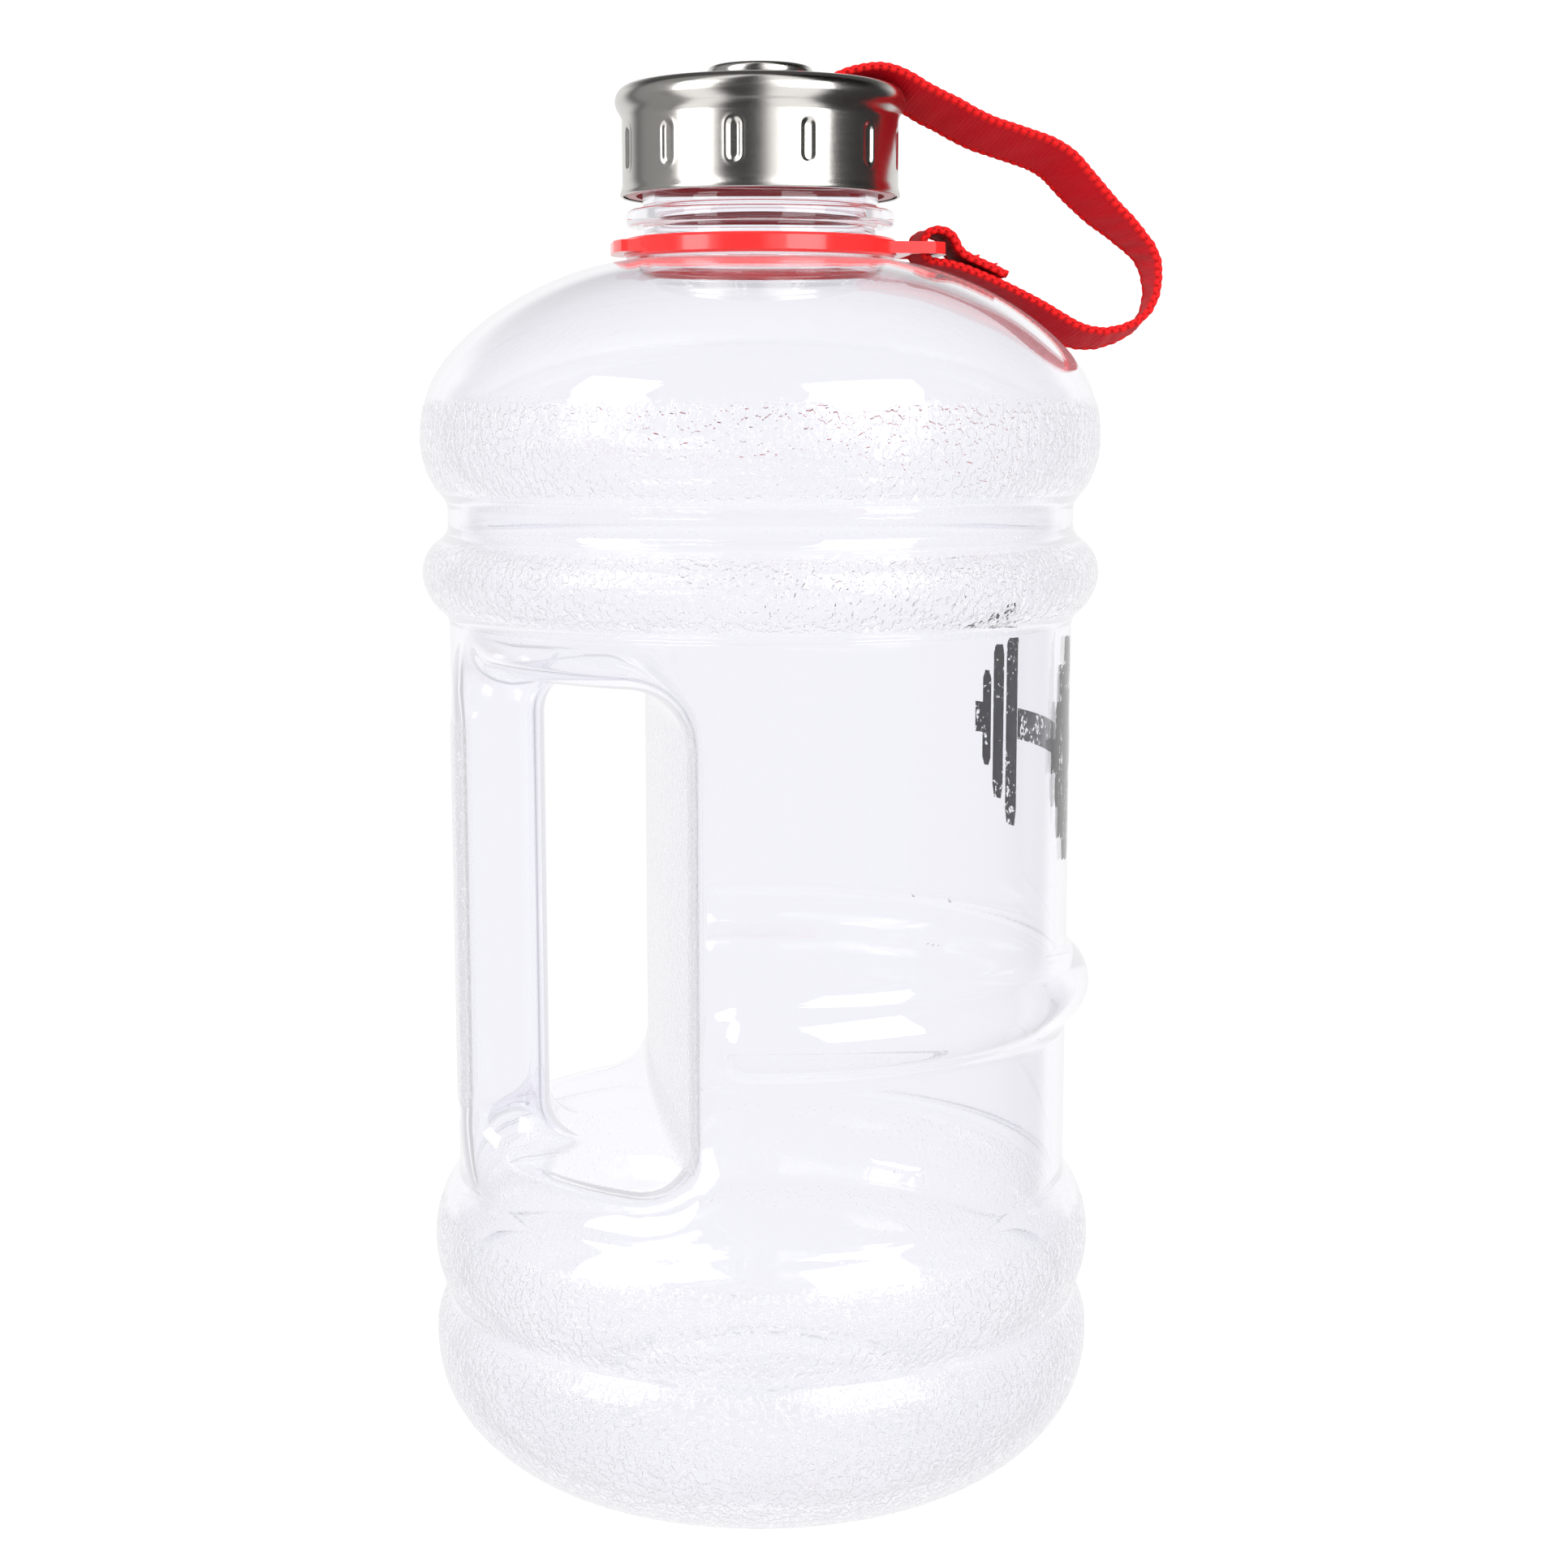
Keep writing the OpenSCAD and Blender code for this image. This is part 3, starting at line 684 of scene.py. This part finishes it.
def make_strap():
    """The webbing, and its centre line and length, which it returns."""
    line, s = smooth_path(STRAP, 0.2)
    tan = np.gradient(line, axis=0)
    tan /= np.linalg.norm(tan, axis=1, keepdims=True)
    nrm = np.stack([-tan[:, 1], tan[:, 0]], 1)
    n, half, thick = len(s), STRAP_W / 2, STRAP_T
    # the far edge hangs lower than the near one all the way round the loop
    lean = np.interp(s, [0, 20, 40, 78, 91, 104, 122, 138, 200],
                     [0, 0, -0.26, -0.26, -0.11, 0.15, 0.19, 0, 0])
    lean = np.convolve(np.pad(lean, 30, mode="edge"), np.ones(61) / 61, mode="valid")
    sink = 5.5 * lean
    crease = smoothstep(84, 94, s) * (1 - smoothstep(116, 124, s))
    ripple = 0.16 * smoothstep(30, 44, s) * (1 - smoothstep(122, 132, s))
    beat, off_beat = np.abs(np.sin(np.pi * s / STRAP_BEAD)), np.abs(np.cos(np.pi * s / STRAP_BEAD))
    over = np.concatenate([np.linspace(-1, -0.8, 9), np.linspace(-0.8, 0.8, 23)[1:-1],
                           np.linspace(0.8, 1, 9)])
    cols, uvs, edge_highlight, bead_gap_shade, prints = [], [], [], [], []
    for side in (1, -1):
        for v in over[::side]:
            u = abs(v)
            rim = smoothstep(0.79, 0.83, u)
            bead = beat if side * v > 0 else off_beat
            w = np.sign(v) * (u * half + smoothstep(0.86, 1, u) * (0.12 * bead - 0.06))
            flat = thick / 2 - 0.12 + 0.045 * np.sin(2 * np.pi * s / 0.8) * (1 - rim)
            ball = (thick / 2 + 0.1) * math.sqrt(max(0.0, 1 - ((u - 0.9) / 0.1) ** 2)) * (0.84 + 0.2 * bead)
            up = side * (flat * (1 - rim) + ball * rim)
            fold = crease * 0.2 * np.sin(2 * np.pi * s / 3.3 + 1.3 * v) * (1 - u ** 3)
            fold = fold + ripple * np.sin(2 * np.pi * s / 5.7 + 0.9 * v + 1.1 * np.sin(s / 7.0)) * (1 - u)
            off = up + fold + sink + w * lean
            y = w * np.sqrt(1 - lean ** 2)
            cols.append(np.stack([line[:, 0] + nrm[:, 0] * off, y, line[:, 1] + nrm[:, 1] * off], 1))
            uvs.append(np.stack([s / 100, np.full(n, (v + 1) / 2)], 1))
            # painted highlight on the rolled edges, and painted shade in the gaps between their beads
            edge_highlight.append(np.full(n, rim))
            bead_gap_shade.append(rim * (1 - bead) ** 1.5)
            # three plain spots on the underside
            run = (s - 112.5) / 6.5
            dots = (np.abs(v + 0.25) < 0.12) * (np.abs(np.mod(run, 1) - 0.5) < 0.11) * (run > 0) * (run < 3)
            prints.append(dots * (1.0 if side < 0 else 0.0))
    m = len(cols)
    points = np.stack(cols, 1).reshape(-1, 3)
    faces = [f[::-1] for f in grid_faces(n, m, 0, True)]
    faces.append(tuple(range(m)))
    faces.append(tuple(range(n * m - 1, n * m - m - 1, -1)))
    ob = new_mesh("strap_webbing", points, faces)
    lay_uv(ob, np.stack(uvs, 1).reshape(-1, 2))
    point_attribute(ob, "edge", np.stack(edge_highlight, 1).ravel())
    point_attribute(ob, "gap", np.stack(bead_gap_shade, 1).ravel())
    point_attribute(ob, "print", np.stack(prints, 1).ravel())
    ob.data.materials.append(webbing_cloth())
    mid = line + nrm * sink[:, None]
    return ob, [(a * 0.001, 0.0, b * 0.001) for a, b in mid[::8]], s[-1] * 0.001


strap, strap_path, strap_len = make_strap()
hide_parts("strap")
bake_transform(strap)

# ------------------------------------------------------------------ jug
jug = make_jug()
jug.data.materials.append(clear_plastic())
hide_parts("jug_body", "grip_pad")
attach(jug, "bottle")


# ------------------------------------------------------------------ printed mark: a plain dumbbell
def make_mark():
    """Plates and bar as (half width, inner edge, outer edge) in mm along the skin."""
    blocks = [(3.2, 0, 18.4), (21.5, 18.6, 23.2), (16.5, 24.2, 28.0), (10.0, 28.8, 31.6), (3.2, 31.6, 34)]
    pts, faces = [], []
    r = BODY_R - 0.3
    for tall, a, b in blocks:
        for sign in (1, -1):
            k, cols, rows = len(pts), 9, 13
            for i in range(rows):
                z = MARK_Z + tall * (2 * i / (rows - 1) - 1)
                trim = 0.7 if i in (0, rows - 1) and tall > 4 else 0.0
                for j in range(cols):
                    u = sign * (a + trim + (b - a - 2 * trim) * j / (cols - 1))
                    pts.append((r * math.cos(u / r), r * math.sin(u / r), z))
            part = grid_faces(rows, cols, k)
            faces += part if sign > 0 else [f[::-1] for f in part]
    ob = new_mesh("printed_mark", pts, faces)
    ob.data.materials.append(print_ink())
    return ob


mark = make_mark()
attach(mark, "bottle")


# ------------------------------------------------------------------ cap shell
def make_cap_shell():
    prof = [(26.05, 244.9), (26.3, 244.75), (26.55, 244.9), (26.65, 245.2), (26.5, 245.7), (26.3, 246.3),
            (26.2, 246.9)]
    prof += [(26.2, 247.3 + 0.3 * i) for i in range(39)]
    prof += [(26.25, 259.2), (26.5, 259.8), (26.85, 260.4), (27.15, 260.9)]
    prof += [(24.5 + 3 * math.cos(math.radians(a)), 262.3 + 3 * math.sin(math.radians(a)))
             for a in range(-12, 90, 8)]
    prof += [(23.9, 265.35), (23.4, 265.3), (23.0, 265.1), (22.6, 264.75), (22.2, 264.45), (21.8, 264.28),
             (21.3, 264.2), (20, 264.2), (17, 264.2), (13, 264.2), (9, 264.2), (5, 264.2), (3.05, 264.2)]
    p = np.array(prof)
    n = 720
    turn = np.linspace(0, 2 * np.pi, n, endpoint=False)
    t = np.gradient(p, axis=0)
    t /= np.linalg.norm(t, axis=1, keepdims=True)
    inner = p - STEEL_T * np.stack([t[:, 1], -t[:, 0]], 1)

    def slotted(r, z):
        """The shell's radius all round at one height, pressed in at the slots, with a low lip round each."""
        radius = np.full(n, r)
        if 246.5 < z < 259.5:
            for k in range(SLOTS):
                a = math.radians(360 / SLOTS * k + SLOT_TURN)
                off = (np.mod(turn - a + np.pi, 2 * np.pi) - np.pi) * CAP_R
                d = np.hypot(off, max(0.0, abs(z - SLOT_Z) - SLOT_REACH))
                lip = 0.05 * np.exp(-((d - 1.7) / 0.3) ** 2)
                radius = radius - 0.7 * SLOT_D * (1 - smoothstep(0.55, 1.5, d)) + lip
        return radius
    rows = [ring_points(slotted(r, z), z, turn) for r, z in [*p, *inner[::-1]]]
    rows.append(rows[0])
    ob = new_mesh("cap_steel_shell", np.concatenate(rows), grid_faces(len(rows), n, 0, True))
    length = path_length(p)
    lay_uv(ob, ring_uv(np.concatenate([length, length[::-1], [0]]), n), closed=True)
    return ob


def turned(name, prof, n=160):
    """A surface turned round the Z axis from an outline in radius and height."""
    turn = np.linspace(0, 2 * np.pi, n, endpoint=False)
    rows = [ring_points(r, z, turn) for r, z in prof]
    ob = new_mesh(name, np.concatenate(rows), grid_faces(len(rows), n, 0, True))
    lay_uv(ob, ring_uv(path_length(np.array(prof, float)), n), closed=True)
    return ob


brushed = brushed_steel()
cap = make_cap_shell()
cap.data.materials.append(brushed)
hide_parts("cap_shell")
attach(cap, "cap")

button = turned("cap_button_top", [
    (0.01, 260.7), (2.6, 260.7), (3, 261), (3, 266.2), (3.3, 266.4), (9.3, 266.4), (9.8, 266.6), (10, 267),
    (10, 267.9), (9.9, 268.3), (9.6, 268.7), (9.1, 268.95), (8.4, 269.08), (7, 269.16), (5, 269.26),
    (2.5, 269.34), (0.01, 269.38)])
button.data.materials.append(brushed)
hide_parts("cap_button")
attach(button, "cap")


def dress(name, mat, bevel=0.0):
    """Gives a CAD node its material, and softens its sharp edges by bevel metres."""
    ob = nodes[name]
    ob.data.materials.clear()
    ob.data.materials.append(mat)
    if bevel:
        b = ob.modifiers.new("edge", "BEVEL")
        b.width = bevel
        b.segments = 3
        b.limit_method = "ANGLE"
        b.angle_limit = math.radians(40)
        b.harden_normals = True


red_gloss = plastic("collar_plastic", (0.92, 0.03, 0.03), 0.18, spread=0.35, coat=0.3)
dress("collar_ring", red_gloss, 0.0003)
dress("cap_liner", plastic("liner_plastic", (0.5, 0.012, 0.025), 0.3, coat=0.1))
dress("cap_gasket", plastic("gasket_rubber", (0.85, 0.85, 0.8), 0.55))
dress("cap_washer", brushed)
dress("strap_eyelet", brushed)
dress("strap_stitching", plastic("stitch_thread", (0.8, 0.02, 0.03), 0.6))

# ------------------------------------------------------------------ floor and light
floor_mesh = bpy.data.meshes.new("floor")
floor_mesh.from_pydata([(-6, -6, 0), (6, -6, 0), (6, 6, 0), (-6, 6, 0)], [], [(0, 1, 2, 3)])
floor = bpy.data.objects.new("floor", floor_mesh)
bpy.context.scene.collection.objects.link(floor)
floor.data.materials.append(floor_finish())


def softbox(name, azimuth, height, distance, w, h, power):
    """A soft light at that many degrees to the right of the camera, aimed 0.2 m up the jug's axis."""
    a = math.radians(CAMERA_SIDE + azimuth)
    pos = (distance * math.cos(a), distance * math.sin(a), height)
    d = bpy.data.lights.new(name, "AREA")
    d.shape = "RECTANGLE"
    d.size, d.size_y = w, h
    d.energy = power
    o = bpy.data.objects.new(name, d)
    o.location = pos
    aim = np.array([0, 0, 0.2]) - np.array(pos)
    flat = math.hypot(aim[0], aim[1])
    o.rotation_euler = (math.atan2(flat, -aim[2]), 0, math.atan2(aim[1], aim[0]) - math.pi / 2)
    bpy.context.scene.collection.objects.link(o)


softbox("softbox_left", -55, 0.64, 0.95, 0.46, 0.8, 5.0)
softbox("softbox_right", 38.5, 0.64, 0.95, 0.67, 0.8, 7.0)


def studio_world():
    """White all round, with a strength of its own for each kind of ray."""
    world = bpy.data.worlds.new("studio")
    world.use_nodes = True
    world.cycles.sampling_method = "NONE"
    tree = world.node_tree
    tree.nodes.clear()
    path = node(tree, "ShaderNodeLightPath").outputs
    place = node(tree, "ShaderNodeTexCoord").outputs["Generated"]
    turned_sky = node(tree, "ShaderNodeMapping", {"Vector": place, "Rotation": (0, 0, math.radians(7))})
    side, back, high = node(tree, "ShaderNodeSeparateXYZ", {0: turned_sky.outputs["Vector"]}).outputs
    bearing = math_node(tree, "ARCTAN2", side, times(tree, back, -1.0))

    def ramp(value, a, b, low, top):
        return map_range(tree, value, a, b, low, top, "SMOOTHSTEP")

    # seen through the plastic: brightest behind, a little darker to the sides
    to_side = math_node(tree, "ABSOLUTE", side)
    through = times(tree, ramp(back, -0.5, 0.3, 1.12, 1.24), ramp(to_side, 0.5, 0.95, 1.0, 0.95))
    # in reflections: a dark room in front, white behind, grey to the left, two tall white banners
    round_by = math_node(tree, "ABSOLUTE", bearing)
    behind = times(tree, ramp(round_by, 2.05, 2.45, 0.04, 0.95), ramp(high, 0.3, 0.6, 1.0, 0.1))
    left = times(tree, ramp(bearing, -1.5, -1.2, 0.34, 0.0), ramp(bearing, -2.2, -1.9, 0.2, 1.0))
    banner_left = times(tree, ramp(bearing, -1.36, -1.16, 0.0, 1.3), ramp(bearing, -0.72, -0.5, 1.0, 0.0))
    banner_right = times(tree, ramp(bearing, 0.0, 0.2, 0.0, 1.3), ramp(bearing, 0.85, 1.0, 1.0, 0.0))
    # the banners are for the brushed steel: a clear wall's sharp mirror image leaves them out
    blurred = math_node(tree, "SUBTRACT", 1.0, path["Is Singular Ray"])
    banners = times(tree, either(tree, banner_left, banner_right), blurred)
    # once inside the plastic, what a wall mirrors is the white all round
    inside = times(tree, math_node(tree, "GREATER_THAN", path["Transmission Depth"], 0.5), 0.6)
    mirror = either(tree, either(tree, either(tree, behind, left), banners), inside)
    white, fill = 1.12, 1.0
    total = white
    for ray, want in (("Is Diffuse Ray", fill), ("Is Transmission Ray", through), ("Is Glossy Ray", mirror)):
        extra = math_node(tree, "SUBTRACT", want, white)
        total = plus(tree, times(tree, path[ray], extra), total)
    sky = node(tree, "ShaderNodeBackground", {"Color": (1, 1, 1, 1), "Strength": total})
    output = node(tree, "ShaderNodeOutputWorld")
    tree.links.new(sky.outputs["Background"], output.inputs["Surface"])
    return world


bpy.context.scene.world = studio_world()
